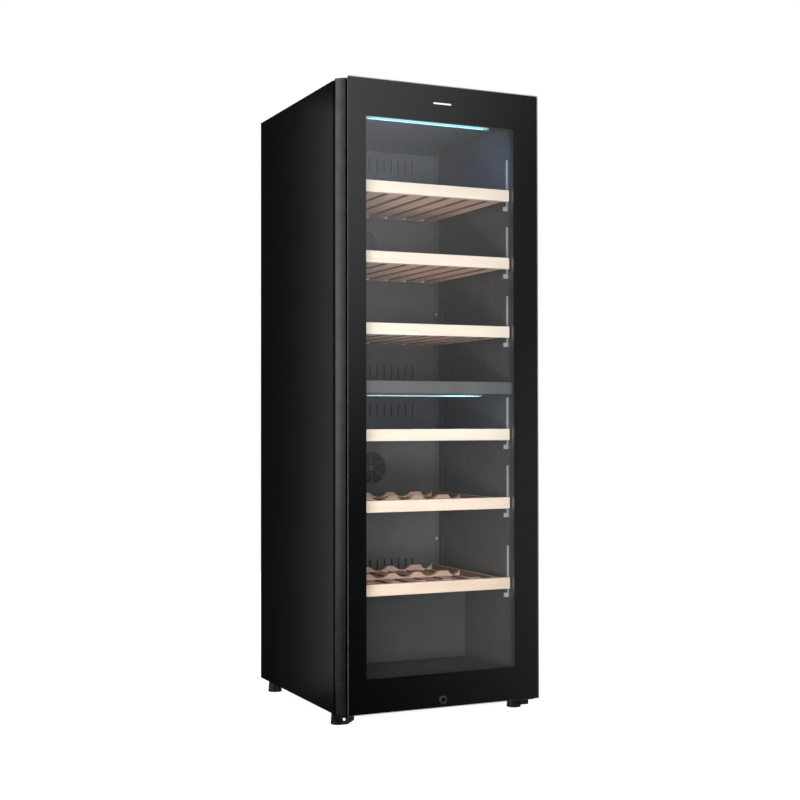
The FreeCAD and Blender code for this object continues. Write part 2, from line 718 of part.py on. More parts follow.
def hinge_bushes():
    """Plastic bushes in the door frame that turn on the hinge pins."""
    hole = HINGE_PIN_R + RUNNING_GAP
    lower = fused([
        rod_z(HINGE_X, HINGE_Y, 7, FRAME_BOTTOM, FRAME_BOTTOM + 14),
        rod_z(HINGE_X, HINGE_Y, 9, CABINET_BOTTOM + 0.3, FRAME_BOTTOM),
    ]).cut(rod_z(HINGE_X, HINGE_Y, hole, CABINET_BOTTOM, FRAME_BOTTOM + 15))
    upper = rod_z(HINGE_X, HINGE_Y, 7, FRAME_TOP - 14, FRAME_TOP)
    return [lower, upper.cut(rod_z(HINGE_X, HINGE_Y, hole, FRAME_TOP - 15, FRAME_TOP + 1))]


# ---- the whole appliance ------------------------------------------------------------------
def main():
    os.makedirs("parts", exist_ok=True)
    housings, lenses = light_bars()
    save("outer_shell", outer_shell())
    save("rear_panel", rear_panel())
    save("base_pan", base_pan())
    save("insulation_foam", insulation_foam())
    save("inner_liner", inner_liner())
    save("zone_divider", zone_divider())
    save("control_panel", control_panel_block(DIVIDER_FRONT - 0.8))
    save("light_housings", *housings)
    save("light_diffusers", *lenses)
    save(
        "duct_covers",
        duct_cover(STEP_TOP + 0.3, DIVIDER_BOTTOM - 0.3, LOWER_FAN),
        duct_cover(DIVIDER_TOP + 0.3, CAVITY_CEILING - 0.3, UPPER_FAN),
    )
    save("fan_frames", fan_frame(UPPER_FAN), fan_frame(LOWER_FAN))
    save("evaporators", evaporator(1170), evaporator(480))
    save("shelf_brackets", *shelf_brackets())
    save("fixed_rails", *fixed_rails())
    save("compressor", compressor())
    save("compressor_grommets", *compressor_grommets())
    save("drip_tray", drip_tray())
    save("condenser_coil", condenser_coil())
    save("condenser_fan_frame", fan_frame(CONDENSER_FAN))
    save("machine_cover", machine_cover())
    save("power_inlet", power_inlet())
    save("top_hinge", top_hinge())
    save("bottom_brackets", *bottom_brackets())
    save("lock_strike", lock_strike())
    save("rear_spacers", *rear_spacers())
    save("rear_screws", *rear_screws())

    for name, fan in (("upper", UPPER_FAN), ("lower", LOWER_FAN), ("condenser", CONDENSER_FAN)):
        save(f"{name}_fan_rotor", fan_rotor(fan))
    for end, y in (("front", FOOT_FRONT_Y), ("rear", FOOT_REAR_Y)):
        for side, x in (("left", -FOOT_X), ("right", FOOT_X)):
            save(f"foot_{end}_{side}", foot(x, y))

    save("door_glass_outer", door_glass_outer())
    save("door_glass_inner", door_glass_inner())
    save("glazing_spacer", glazing_spacer())
    save("door_frame", door_frame())
    save("handle_profile", handle_profile())
    save("door_gasket", door_gasket())
    save("lock_housing", lock_housing())
    save("lock_plug", lock_plug())
    save("hinge_bushes", *hinge_bushes())

    for number, top in enumerate(SHELF_TOPS, start=1):
        save(f"shelf_{number}_front", shelf_front(top))
        save(f"shelf_{number}_rack", shelf_rack(top))
        save(f"shelf_{number}_runners", *shelf_runners(top))


main()
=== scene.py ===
"""Looks of the dual-zone wine cooler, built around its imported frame.

Metres. X runs to the right of someone facing the door, Y backwards and Z up, from the floor under
the middle of the appliance. Every piece made here rides on a body of the frame.
"""
import json
import math

import bmesh
import bpy
from mathutils import Matrix, Vector


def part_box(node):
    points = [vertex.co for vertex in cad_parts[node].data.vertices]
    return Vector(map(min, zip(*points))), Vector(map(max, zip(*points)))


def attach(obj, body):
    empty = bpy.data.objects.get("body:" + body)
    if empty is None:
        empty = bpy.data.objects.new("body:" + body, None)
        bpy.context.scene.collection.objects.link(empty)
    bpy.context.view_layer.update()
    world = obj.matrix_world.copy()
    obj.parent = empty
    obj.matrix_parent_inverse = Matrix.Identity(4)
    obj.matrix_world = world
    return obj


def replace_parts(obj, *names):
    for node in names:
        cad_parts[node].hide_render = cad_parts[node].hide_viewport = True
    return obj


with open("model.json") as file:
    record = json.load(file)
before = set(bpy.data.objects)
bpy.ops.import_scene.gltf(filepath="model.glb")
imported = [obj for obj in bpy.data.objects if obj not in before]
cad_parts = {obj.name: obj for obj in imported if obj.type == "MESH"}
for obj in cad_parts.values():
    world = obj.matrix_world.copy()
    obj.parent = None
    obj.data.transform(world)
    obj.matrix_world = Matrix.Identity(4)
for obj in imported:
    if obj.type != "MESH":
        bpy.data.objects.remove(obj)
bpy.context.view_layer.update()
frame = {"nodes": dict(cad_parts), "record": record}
nodes = frame["nodes"]
MM = 0.001

# ---- places taken from the frame --------------------------------------------------------------
GLASS_LOW, GLASS_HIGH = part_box("door_glass_outer")
PANEL_LOW, PANEL_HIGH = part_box("control_panel")
LENS_LOW, LENS_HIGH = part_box("light_diffusers")
GASKET_LOW, GASKET_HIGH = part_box("door_gasket")
LOCK_LOW, LOCK_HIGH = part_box("lock_housing")
COVER_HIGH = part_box("machine_cover")[1]
LOCK_Z = (LOCK_LOW.z + LOCK_HIGH.z) / 2
PLUG_RADIUS = 6.02 * MM
HINGE_SCREW_Y = GLASS_LOW.y + 7.95 * MM
UPPER_ZONE_Z = 1.2
LENS_FADE = (0.192, 0.165)
DIODE_PITCH = 8.3 * MM
UPPER_LENS_Z = LENS_HIGH.z - 5 * MM
LOWER_LENS_Z = LENS_LOW.z
UPPER_LENS_Y = GLASS_LOW.y + 93 * MM
LOWER_LENS_Y = GLASS_LOW.y + 80 * MM


# ---- material tools ---------------------------------------------------------------------------
class Nodes:
    """Short calls for the nodes of one tree."""

    def __init__(self, tree):
        self.tree = tree

    def node(self, kind, **settings):
        made = self.tree.nodes.new(kind)
        for key, value in settings.items():
            setattr(made, key, value)
        return made

    def feed(self, target, value):
        """Give a socket another socket's output, or a plain value."""
        if isinstance(value, bpy.types.NodeSocket):
            self.tree.links.new(value, target)
        elif hasattr(value, "__len__") and len(target.default_value) == 4:
            target.default_value = (*value, 1.0)
        else:
            target.default_value = value

    def math(self, operation, *values):
        made = self.node("ShaderNodeMath", operation=operation)
        for socket, value in zip(made.inputs, values):
            self.feed(socket, value)
        return made.outputs[0]

    def spread(self, source, low, high, to_low=0.0, to_high=1.0):
        """Map a range onto another, clamped, with soft ends."""
        made = self.node("ShaderNodeMapRange", interpolation_type="SMOOTHSTEP")
        self.feed(made.inputs["Value"], source)
        for socket, value in zip(("From Min", "From Max", "To Min", "To Max"), (low, high, to_low, to_high)):
            self.feed(made.inputs[socket], value)
        return made.outputs[0]


class Look(Nodes):
    """A node material on a Principled shader, with short calls for the patterns that feed it."""

    def __init__(self, name, color, roughness, **sockets):
        self.material = bpy.data.materials.new(name)
        self.material.use_nodes = True
        super().__init__(self.material.node_tree)
        self.shader = self.tree.nodes["Principled BSDF"]
        self.output = self.tree.nodes["Material Output"]
        self.shader.inputs["Base Color"].default_value = (*color, 1.0)
        self.shader.inputs["Roughness"].default_value = roughness
        for socket, value in sockets.items():
            self.shader.inputs[socket.replace("_", " ")].default_value = value
        self.height = None

    def place(self, stretch=(1, 1, 1)):
        """Coordinates on the piece, multiplied along each axis."""
        source = self.node("ShaderNodeTexCoord").outputs["Object"]
        made = self.node("ShaderNodeVectorMath", operation="MULTIPLY")
        self.feed(made.inputs[0], source)
        made.inputs[1].default_value = stretch
        return made.outputs[0]

    def axis(self, name):
        made = self.node("ShaderNodeSeparateXYZ")
        self.feed(made.inputs[0], self.node("ShaderNodeTexCoord").outputs["Object"])
        return made.outputs[name]

    def facing(self, name):
        """How far the surface faces along an axis of the piece, from 0 to 1."""
        made = self.node("ShaderNodeSeparateXYZ")
        self.feed(made.inputs[0], self.node("ShaderNodeTexCoord").outputs["Normal"])
        return self.math("ABSOLUTE", made.outputs[name])

    def noise(self, size, detail=2.0, stretch=(1, 1, 1), vector=None):
        made = self.node("ShaderNodeTexNoise")
        made.inputs["Scale"].default_value = 1 / size
        made.inputs["Detail"].default_value = detail
        self.feed(made.inputs["Vector"], vector or self.place(stretch))
        return made.outputs["Fac"]

    def cells(self, size, stretch=(1, 1, 1)):
        made = self.node("ShaderNodeTexVoronoi", feature="F1")
        made.inputs["Scale"].default_value = 1 / size
        self.feed(made.inputs["Vector"], self.place(stretch))
        return made.outputs["Distance"]

    def mix(self, factor, a, b):
        made = self.node("ShaderNodeMix", data_type="RGBA")
        self.feed(made.inputs[0], factor)
        self.feed(made.inputs[6], a)
        self.feed(made.inputs[7], b)
        return made.outputs[2]

    def tint(self, factor, a, b):
        self.feed(self.shader.inputs["Base Color"], self.mix(factor, a, b))

    def shine(self, source, low, high):
        """Roughness that follows a pattern."""
        self.feed(self.shader.inputs["Roughness"], self.spread(source, 0.3, 0.7, low, high))

    def bump(self, height, depth, strength=1.0):
        """Relief of the given depth in metres. Calls add up, coarse relief first."""
        made = self.node("ShaderNodeBump")
        made.inputs["Strength"].default_value = strength
        made.inputs["Distance"].default_value = depth
        self.feed(made.inputs["Height"], height)
        if self.height:
            self.feed(made.inputs["Normal"], self.height)
        self.height = made.outputs["Normal"]
        self.feed(self.shader.inputs["Normal"], self.height)

    def glow(self, source):
        self.feed(self.shader.inputs["Emission Strength"], source)


def scaled(color, factor):
    return tuple(min(1.0, c * factor) for c in color)


def grained_plastic(name, color, roughness, grain=0.9 * MM, depth=0.05 * MM):
    """Moulded plastic with a fine pebbled skin and faint flow marks."""
    look = Look(name, color, roughness)
    look.tint(look.spread(look.noise(60 * MM), 0.3, 0.7), scaled(color, 0.93), scaled(color, 1.07))
    look.shine(look.noise(18 * MM, 3.0), roughness - 0.05, roughness + 0.06)
    look.bump(look.cells(grain), depth, 0.5)
    look.bump(look.noise(grain / 3, 1.0), depth / 3, 0.4)
    return look.material


def coated_steel(name, color, roughness, peel=2.2 * MM, wear=0.04, relief=0.02 * MM):
    """Powder-coated sheet: orange peel and handling marks in its sheen."""
    look = Look(name, color, roughness)
    marks = look.noise(90 * MM, 4.0, (1, 1, 0.6))
    look.tint(look.spread(marks, 0.35, 0.7), scaled(color, 0.92), scaled(color, 1.1))
    look.shine(marks, roughness - wear, roughness + wear)
    look.bump(look.noise(peel, 2.0), relief, 0.5)
    return look.material


def drawn_metal(name, color, roughness, stretch, line=0.4 * MM):
    """Rolled or brushed metal, with its lines along the axis that has the small stretch."""
    look = Look(name, color, roughness, Metallic=1.0)
    lines = look.noise(line, 3.0, stretch)
    patches = look.noise(35 * MM, 3.0)
    look.tint(look.spread(patches, 0.3, 0.75), scaled(color, 0.88), scaled(color, 1.08))
    look.shine(lines, roughness - 0.07, roughness + 0.1)
    look.bump(lines, 0.015 * MM, 0.4)
    return look.material


def galvanised(name, color):
    """Zinc with its crystals, each with its own tone and sheen."""
    look = Look(name, color, 0.42, Metallic=1.0)
    spangle = look.node("ShaderNodeTexVoronoi", feature="F1")
    spangle.inputs["Scale"].default_value = 1 / (11 * MM)
    look.feed(spangle.inputs["Vector"], look.place())
    tone = look.node("ShaderNodeSeparateColor")
    look.feed(tone.inputs[0], spangle.outputs["Color"])
    look.tint(tone.outputs[0], scaled(color, 0.72), scaled(color, 1.12))
    look.feed(look.shader.inputs["Roughness"], look.spread(tone.outputs[1], 0, 1, 0.34, 0.55))
    look.bump(look.noise(3 * MM, 2.0), 0.02 * MM, 0.3)
    return look.material


def soft_rubber(name, color):
    """Matt rubber with some dust."""
    look = Look(name, color, 0.62, Specular_IOR_Level=0.35)
    dust = look.noise(25 * MM, 5.0)
    look.tint(look.spread(dust, 0.45, 0.8), color, scaled(color, 1.5))
    look.shine(dust, 0.57, 0.74)
    look.bump(look.noise(0.7 * MM, 2.0), 0.03 * MM, 0.4)
    return look.material


def foamed(name, color):
    """Cut foam with open cells."""
    look = Look(name, color, 0.9)
    look.tint(look.noise(40 * MM, 3.0), scaled(color, 0.85), scaled(color, 1.08))
    look.bump(look.cells(1.6 * MM), 0.5 * MM, 0.8)
    return look.material


def beech(name, pale, dark, along, board_pitch, side_shade):
    """Planed beech. The grain runs along one axis, and each board across it has its own tone. The board
    sides carry painted shade and the end faces a painted highlight.
    """
    look = Look(name, pale, 0.48, Specular_IOR_Level=0.35)
    across = {"X": "Y", "Y": "X"}[along]
    long_fibre = {"X": (0.05, 1, 1), "Y": (1, 0.05, 1)}[along]
    fleck_shape = {"X": (0.22, 1, 1), "Y": (1, 0.22, 1)}[along]

    board = look.math("FLOOR", look.math("DIVIDE", look.math("ADD", look.axis(across), 10.0), board_pitch))
    own = look.node("ShaderNodeTexWhiteNoise", noise_dimensions="1D")
    look.feed(own.inputs["W"], board)
    shifted = look.node("ShaderNodeVectorMath", operation="ADD")
    look.feed(shifted.inputs[0], look.place(long_fibre))
    look.feed(shifted.inputs[1], own.outputs["Color"])

    bands = look.noise(9 * MM, 3.0, vector=shifted.outputs[0])
    fibres = look.noise(0.9 * MM, 2.0, vector=shifted.outputs[0])
    flecks = look.spread(look.cells(2.4 * MM, fleck_shape), 0.16, 0.05)
    base = look.mix(look.spread(bands, 0.3, 0.72), pale, look.mix(0.45, pale, dark))
    base = look.mix(look.math("MULTIPLY", own.outputs["Value"], 0.5), base, look.mix(0.55, pale, dark))
    base = look.mix(look.spread(fibres, 0.5, 0.9, 0.0, 0.35), base, dark)
    base = look.mix(look.math("MULTIPLY", flecks, 0.35), base, scaled(dark, 0.7))
    # Faces across the grain, the slat sides seen in the gaps, are darkened by side_shade: painted shade
    # between the slats.
    shaded_sides = look.spread(look.facing(across), 0.6, 0.9)
    base = look.mix(shaded_sides, base, scaled(dark, side_shade))
    # Faces along the grain, the slat ends and the front of the rear board, are painted pale: a painted
    # highlight for the light falling on them. The rings are real end grain.
    end_grain = look.spread(look.facing(along), 0.7, 0.95)
    rings = look.noise(2.2 * MM, 4.0)
    ends = look.mix(look.spread(rings, 0.35, 0.7), scaled(pale, 0.9), scaled(pale, 1.05))
    look.tint(end_grain, base, ends)
    look.shine(fibres, 0.43, 0.58)
    look.bump(fibres, 0.05 * MM, 0.5)
    return look.material


def beech_board(name, pale, dark, rosy):
    """Sanded board with the grain along X and faint, nearly straight lines. The lowest boards are rosier."""
    look = Look(name, pale, 0.42, Specular_IOR_Level=0.35)
    low = look.spread(look.axis("Z"), 0.85, 0.28)
    light = look.mix(low, pale, [c * r for c, r in zip(pale, rosy)])
    deep = look.mix(low, dark, [c * r for c, r in zip(dark, rosy)])
    bands = look.noise(16 * MM, 3.0, (0.06, 1, 1))
    fibres = look.noise(1.1 * MM, 2.0, (0.04, 1, 1))
    base = look.mix(look.spread(bands, 0.35, 0.8, 0.0, 0.45), light, deep)
    base = look.mix(look.spread(fibres, 0.5, 0.9, 0.0, 0.25), base, deep)
    flecks = look.spread(look.cells(2.6 * MM, (0.2, 1, 1)), 0.16, 0.05)
    base = look.mix(look.math("MULTIPLY", flecks, 0.18), base, scaled(dark, 0.7))
    ends = look.mix(look.spread(look.noise(2.2 * MM, 4.0), 0.35, 0.7), scaled(dark, 0.9), dark)
    end_grain = look.spread(look.facing("X"), 0.7, 0.95)
    look.tint(end_grain, base, ends)
    look.shine(fibres, 0.38, 0.5)
    look.bump(fibres, 0.04 * MM, 0.5)
    return look.material


def lock_metal(name):
    """Nickel ring round the plug, both turned, with fine circular lines. The plug is painted near black,
    painted shade for the hole it sits in.
    """
    look = Look(name, (0.3, 0.3, 0.31), 0.2, Metallic=1.0)
    across = look.axis("X")
    up = look.math("SUBTRACT", look.axis("Z"), LOCK_Z)
    squares = look.math("ADD", look.math("MULTIPLY", across, across), look.math("MULTIPLY", up, up))
    radius = look.math("SQRT", squares)
    plug_painted_dark = look.math("LESS_THAN", radius, PLUG_RADIUS)
    lines = look.math("SINE", look.math("MULTIPLY", radius, 2 * math.pi / (0.5 * MM)))
    ring = look.mix(look.spread(look.noise(4 * MM), 0.3, 0.7), (0.30, 0.30, 0.31), (0.38, 0.38, 0.39))
    # Inside PLUG_RADIUS the colour is near black: painted shade of the hole in the ring.
    look.tint(plug_painted_dark, ring, (0.02, 0.02, 0.021))
    look.shine(look.noise(2 * MM), 0.16, 0.3)
    look.bump(lines, 0.01 * MM, 0.3)
    return look.material


def pane(name, through, edge):
    """Float glass: clear and mirror-like on its faces, and ground matt on its cut edges."""
    look = Look(name, through, 0.0)
    tree = look.tree
    tree.nodes.remove(look.shader)
    clear = look.node("ShaderNodeBsdfTransparent")
    clear.inputs["Color"].default_value = (*through, 1.0)
    mirror = look.node("ShaderNodeBsdfAnisotropic")
    mirror.inputs["Roughness"].default_value = 0.02
    inside = look.node("ShaderNodeNewGeometry").outputs["Backfacing"]
    fresnel = look.node("ShaderNodeFresnel")
    look.feed(fresnel.inputs["IOR"], look.spread(inside, 0.0, 1.0, 1.5, 1 / 1.5))
    face = look.node("ShaderNodeMixShader")
    look.feed(face.inputs[0], fresnel.outputs[0])
    look.feed(face.inputs[1], clear.outputs[0])
    look.feed(face.inputs[2], mirror.outputs[0])

    ground = look.node("ShaderNodeBsdfPrincipled")
    ground.inputs["Base Color"].default_value = (*edge, 1.0)
    ground.inputs["Roughness"].default_value = 0.33
    relief = look.node("ShaderNodeBump")
    relief.inputs["Distance"].default_value = 0.02 * MM
    look.feed(relief.inputs["Height"], look.noise(0.3 * MM, 2.0))
    look.feed(ground.inputs["Normal"], relief.outputs[0])
    whole = look.node("ShaderNodeMixShader")
    look.feed(whole.inputs[0], look.spread(look.facing("Y"), 0.85, 0.7))
    look.feed(whole.inputs[1], face.outputs[0])
    look.feed(whole.inputs[2], ground.outputs[0])
    look.feed(look.output.inputs["Surface"], whole.outputs[0])
    return look.material


def lit_lens(name, color, pitch, strength):
    """Milky strips lit by rows of diodes. The lower one is dimmer, and both fade at their ends."""
    look = Look(name, (0.35, 0.45, 0.5), 0.35)
    step = look.math("FRACT", look.math("DIVIDE", look.math("ADD", look.axis("X"), 10.0), pitch))
    off_diode = look.math("ABSOLUTE", look.math("SUBTRACT", step, 0.5))
    ripple = look.spread(off_diode, 0.5, 0.0, 0.7, 1.0)
    upper = look.math("GREATER_THAN", look.axis("Z"), UPPER_ZONE_Z)
    level = look.spread(upper, 0.0, 1.0, strength * 0.3, strength)
    ends = look.spread(look.math("ABSOLUTE", look.axis("X")), *LENS_FADE, 0.12, 1.0)
    look.shader.inputs["Emission Color"].default_value = (*color, 1.0)
    look.glow(look.math("MULTIPLY", look.math("MULTIPLY", ripple, level), ends))
    return look.material


def bracket_plastic(name, front_color, shaded_back_color):
    """Moulded strips: the front ones are pale, and the back ones are painted down to the liner's tone as
    painted shade deep in the cabinet.
    """
    look = Look(name, front_color, 0.4)
    # Strips towards the back are mixed to the darker colour: painted shade at the back of the cabinet.
    back = look.spread(look.axis("Y"), -0.05, 0.05)
    mottle = look.spread(look.noise(60 * MM), 0.3, 0.7)
    look.tint(mottle, look.mix(back, scaled(front_color, 0.93), scaled(shaded_back_color, 0.93)),
              look.mix(back, scaled(front_color, 1.07), scaled(shaded_back_color, 1.07)))
    look.shine(look.noise(18 * MM, 3.0), 0.35, 0.46)
    look.bump(look.cells(0.9 * MM), 0.05 * MM, 0.5)
    return look.material


def bracket_steel(name, color):
    """Satin black steel with a zinc screw head on its foremost face, painted near white as a painted glint.
    """
    look = Look(name, color, 0.3)
    # Everything in front of HINGE_SCREW_Y is painted near white: a painted glint on the screw head.
    screw_glint = look.math("LESS_THAN", look.axis("Y"), HINGE_SCREW_Y)
    marks = look.noise(40 * MM, 4.0)
    coat = look.mix(look.spread(marks, 0.35, 0.7), scaled(color, 0.9), scaled(color, 1.2))
    look.tint(screw_glint, coat, (0.9, 0.9, 0.91))
    look.shine(marks, 0.27, 0.36)
    look.bump(look.noise(1.2 * MM, 2.0), 0.02 * MM, 0.5)
    return look.material


def touch_black(name):
    """Polished dark plastic with fingerprints."""
    look = Look(name, (0.006, 0.006, 0.007), 0.08, Coat_Weight=0.4)
    prints = look.noise(6 * MM, 5.0)
    look.tint(look.spread(look.noise(20 * MM), 0.3, 0.7), (0.005, 0.005, 0.006), (0.009, 0.009, 0.010))
    look.shine(prints, 0.06, 0.22)
    return look.material


def printed_black(name):
    """Fired ceramic ink on the back of the glass."""
    look = Look(name, (0.0012, 0.0012, 0.0013), 0.6, Specular_IOR_Level=0.0)
    look.tint(look.noise(30 * MM, 1.0), (0.0008, 0.0008, 0.0009), (0.0016, 0.0016, 0.0017))
    return look.material


def ribbed_rubber(name, color):
    """Extruded seal with fine ridges along its run."""
    look = Look(name, color, 0.5, Specular_IOR_Level=0.4)
    depth = look.axis("Y")
    ridge = look.math("SINE", look.math("MULTIPLY", depth, 2 * math.pi / (1.2 * MM)))
    look.tint(look.noise(30 * MM, 4.0), scaled(color, 0.8), scaled(color, 1.4))
    look.bump(ridge, 0.08 * MM, 0.6)
    look.bump(look.noise(0.8 * MM, 2.0), 0.02 * MM, 0.4)
    return look.material


def lit_print(name, color, strength):
    """Lamp that glows nearly evenly; on the badge print the glow is painted light."""
    look = Look(name, color, 0.5)
    look.shader.inputs["Emission Color"].default_value = (*color, 1.0)
    look.glow(look.spread(look.noise(0.6 * MM, 1.0), 0.2, 0.8, strength * 0.85, strength))
    return look.material


LOOKS = {
    "housing_black": coated_steel("housing_black", (0.002, 0.002, 0.0022), 0.25, 6 * MM, 0.01, 0.01 * MM),
    "rear_sheet": coated_steel("rear_sheet", (0.028, 0.028, 0.030), 0.5, 1.5 * MM),
    "zinc_sheet": galvanised("zinc_sheet", (0.55, 0.57, 0.58)),
    "foam": foamed("foam", (0.82, 0.72, 0.45)),
    "liner_grey": grained_plastic("liner_grey", (0.058, 0.058, 0.060), 0.42),
    "divider_grey": grained_plastic("divider_grey", (0.103, 0.103, 0.106), 0.45),
    "panel_gloss": touch_black("panel_gloss"),
    "light_housing": grained_plastic("light_housing", (0.06, 0.062, 0.068), 0.45),
    "light_lens": lit_lens("light_lens", (0.22, 0.82, 0.95), DIODE_PITCH, 0.9),
    "duct_grey": grained_plastic("duct_grey", (0.115, 0.115, 0.118), 0.45),
    "fan_black": grained_plastic("fan_black", (0.02, 0.02, 0.02), 0.4),
    "evaporator_aluminium": drawn_metal("evaporator_aluminium", (0.72, 0.73, 0.75), 0.35, (1, 1, 0.05)),
    "bracket_grey": bracket_plastic("bracket_grey", (0.30, 0.305, 0.32), (0.062, 0.062, 0.066)),
    "rail_steel": drawn_metal("rail_steel", (0.46, 0.47, 0.49), 0.3, (1, 0.04, 1)),
    "compressor_black": coated_steel("compressor_black", (0.012, 0.012, 0.012), 0.2),
    "rubber_black": soft_rubber("rubber_black", (0.018, 0.018, 0.018)),
    "tray_plastic": grained_plastic("tray_plastic", (0.10, 0.10, 0.10), 0.5),
    "condenser_black": coated_steel("condenser_black", (0.018, 0.018, 0.018), 0.42, 1.2 * MM),
    "inlet_plastic": grained_plastic("inlet_plastic", (0.016, 0.016, 0.017), 0.3, 0.6 * MM),
    "hinge_black": bracket_steel("hinge_black", (0.005, 0.005, 0.0055)),
    "screw_steel": drawn_metal("screw_steel", (0.55, 0.55, 0.56), 0.28, (0.1, 1, 1), 0.2 * MM),
    "foot_black": grained_plastic("foot_black", (0.005, 0.005, 0.0055), 0.18, 0.6 * MM, 0.02 * MM),
    "glass_clear": pane("glass_clear", (0.99, 0.995, 0.993), (0.12, 0.128, 0.127)),
    "spacer_aluminium": drawn_metal("spacer_aluminium", (0.09, 0.09, 0.10), 0.35, (0.05, 1, 0.05)),
    "frame_black": grained_plastic("frame_black", (0.055, 0.055, 0.058), 0.42, 0.7 * MM),
    "handle_black": drawn_metal("handle_black", (0.115, 0.115, 0.118), 0.22, (1, 1, 0.02), 0.5 * MM),
    "gasket_black": ribbed_rubber("gasket_black", (0.02, 0.02, 0.021)),
    "lock_metal": lock_metal("lock_metal"),
    "beech_fascia": beech_board("beech_fascia", (0.82, 0.70, 0.60), (0.69, 0.52, 0.40), (0.90, 0.81, 0.77)),
    "beech_slats": beech("beech_slats", (0.95, 0.66, 0.53), (0.44, 0.22, 0.15), "Y", 62 * MM, 0.35),
    "bush_white": grained_plastic("bush_white", (0.78, 0.78, 0.76), 0.4),
}
PRINT = printed_black("border_print")
# The badge is print and no lamp: its faint glow is painted light.
GLOWING_BADGE = lit_print("badge_print", (0.55, 0.55, 0.56), 0.25)
DIODE = lit_print("diode", (0.62, 0.95, 1.0), 6.0)
ICON = lit_print("icon", (0.75, 0.9, 1.0), 1.6)
SENSOR = grained_plastic("sensor_cap", (0.42, 0.42, 0.43), 0.4)

for entry in frame["record"]["subparts"]:
    for material_slot in nodes[entry["node"]].material_slots:
        material_slot.material = LOOKS[entry["material_slot"]]


# ---- piece tools ------------------------------------------------------------------------------
def piece(name, shape, body, material, smooth=False):
    bmesh.ops.recalc_face_normals(shape, faces=shape.faces)
    mesh = bpy.data.meshes.new(name)
    shape.to_mesh(mesh)
    shape.free()
    for polygon in mesh.polygons:
        polygon.use_smooth = smooth
    mesh.materials.append(material)
    made = bpy.data.objects.new(name, mesh)
    bpy.context.scene.collection.objects.link(made)
    if smooth:
        mesh.set_sharp_from_angle(angle=math.radians(40))
    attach(made, body)
    return made


def bridge(shape, loops, closed=True):
    """Quads between neighbouring loops of vertices."""
    count = len(loops[0])
    for a, b in zip(loops, loops[1:]):
        for k in range(count if closed else count - 1):
            m = (k + 1) % count
            shape.faces.new((a[k], a[m], b[m], b[k]))


def mitred_ring(shape, profile, half, low, high):
    """Sweep a closed profile of (inset, y) points round a rectangle that stands in the X-Z plane."""
    loops = []
    for side, end in ((-1, low), (1, low), (1, high), (-1, high)):
        inwards = 1 if end == low else -1
        loops.append([
            shape.verts.new((side * (half - inset), y, end + inwards * inset))
            for inset, y in profile
        ])
    bridge(shape, loops + loops[:1])


def rounded_outline(half_x, half_z, radius, steps=5):
    """Corner-rounded rectangle round the origin, as (x, z) points."""
    points = []
    for turn, (sx, sz) in enumerate(((1, 1), (-1, 1), (-1, -1), (1, -1))):
        for i in range(steps + 1):
            angle = math.radians(90 * turn + 90 * i / steps)
            points.append((
                sx * (half_x - radius) + radius * math.cos(angle),
                sz * (half_z - radius) + radius * math.sin(angle),
            ))
    return points


def flat_shape(name, outlines, y_front, y_back, body, material):
    """A plate that stands in the X-Z plane: the first outline with the others as holes."""
    curve = bpy.data.curves.new(name, "CURVE")
    curve.dimensions = "2D"
    curve.fill_mode = "BOTH"
    curve.extrude = (y_back - y_front) / 2
    for outline in outlines:
        spline = curve.splines.new("POLY")
        spline.points.add(len(outline) - 1)
        for point, (x, z) in zip(spline.points, outline):
            point.co = (x, z, 0, 1)
        spline.use_cyclic_u = True
    drawn = bpy.data.objects.new(name + "_outline", curve)
    bpy.context.scene.collection.objects.link(drawn)
    mesh = bpy.data.meshes.new_from_object(drawn.evaluated_get(bpy.context.evaluated_depsgraph_get()))
    bpy.data.objects.remove(drawn)
    bpy.data.curves.remove(curve)
    shape = bmesh.new()
    shape.from_mesh(mesh)
    bpy.data.meshes.remove(mesh)
    bmesh.ops.remove_doubles(shape, verts=shape.verts, dist=1e-6)
    upright = Matrix.Rotation(math.radians(90), 4, "X")
    bmesh.ops.transform(shape, matrix=upright, verts=shape.verts)
    bmesh.ops.translate(shape, vec=(0, (y_front + y_back) / 2, 0), verts=shape.verts)
    return piece(name, shape, body, material)


def shifted(outline, x, z):
    return [(px + x, pz + z) for px, pz in outline]


def turned(shape, profile, centre, axis, segments=24):
    """Sweep (radius, distance) points round an axis through a centre, closed at both ends."""
    frame_axis = Vector(axis).normalized()
    side = frame_axis.orthogonal().normalized()
    other = frame_axis.cross(side)
    loops = []
    for radius, distance in profile:
        loop = []
        for i in range(segments):
            angle = 2 * math.pi * i / segments
            spoke = side * math.cos(angle) + other * math.sin(angle)
            loop.append(shape.verts.new(Vector(centre) + frame_axis * distance + spoke * radius))
        loops.append(loop)
    bridge(shape, loops)
    shape.faces.new(loops[0])
    shape.faces.new(loops[-1])


# ---- door: border print, badge and seal -------------------------------------------------------
WINDOW_HALF = 0.223
WINDOW_LOW, WINDOW_HIGH = 0.128, 1.615
glass_middle = ((GLASS_LOW.x + GLASS_HIGH.x) / 2, (GLASS_LOW.z + GLASS_HIGH.z) / 2)
glass_half = ((GLASS_HIGH.x - GLASS_LOW.x) / 2, (GLASS_HIGH.z - GLASS_LOW.z) / 2)
outer = shifted(rounded_outline(glass_half[0] - 0.6 * MM, glass_half[1] - 0.6 * MM, 3 * MM), *glass_middle)
window = shifted(
    rounded_outline(WINDOW_HALF, (WINDOW_HIGH - WINDOW_LOW) / 2, 1 * MM), 0, (WINDOW_LOW + WINDOW_HIGH) / 2
)
LOCK_HOLE = 9.7 * MM
lock_hole = [
    (LOCK_HOLE * math.cos(math.radians(a)), LOCK_Z + LOCK_HOLE * math.sin(math.radians(a)))
    for a in range(0, 360, 10)
]
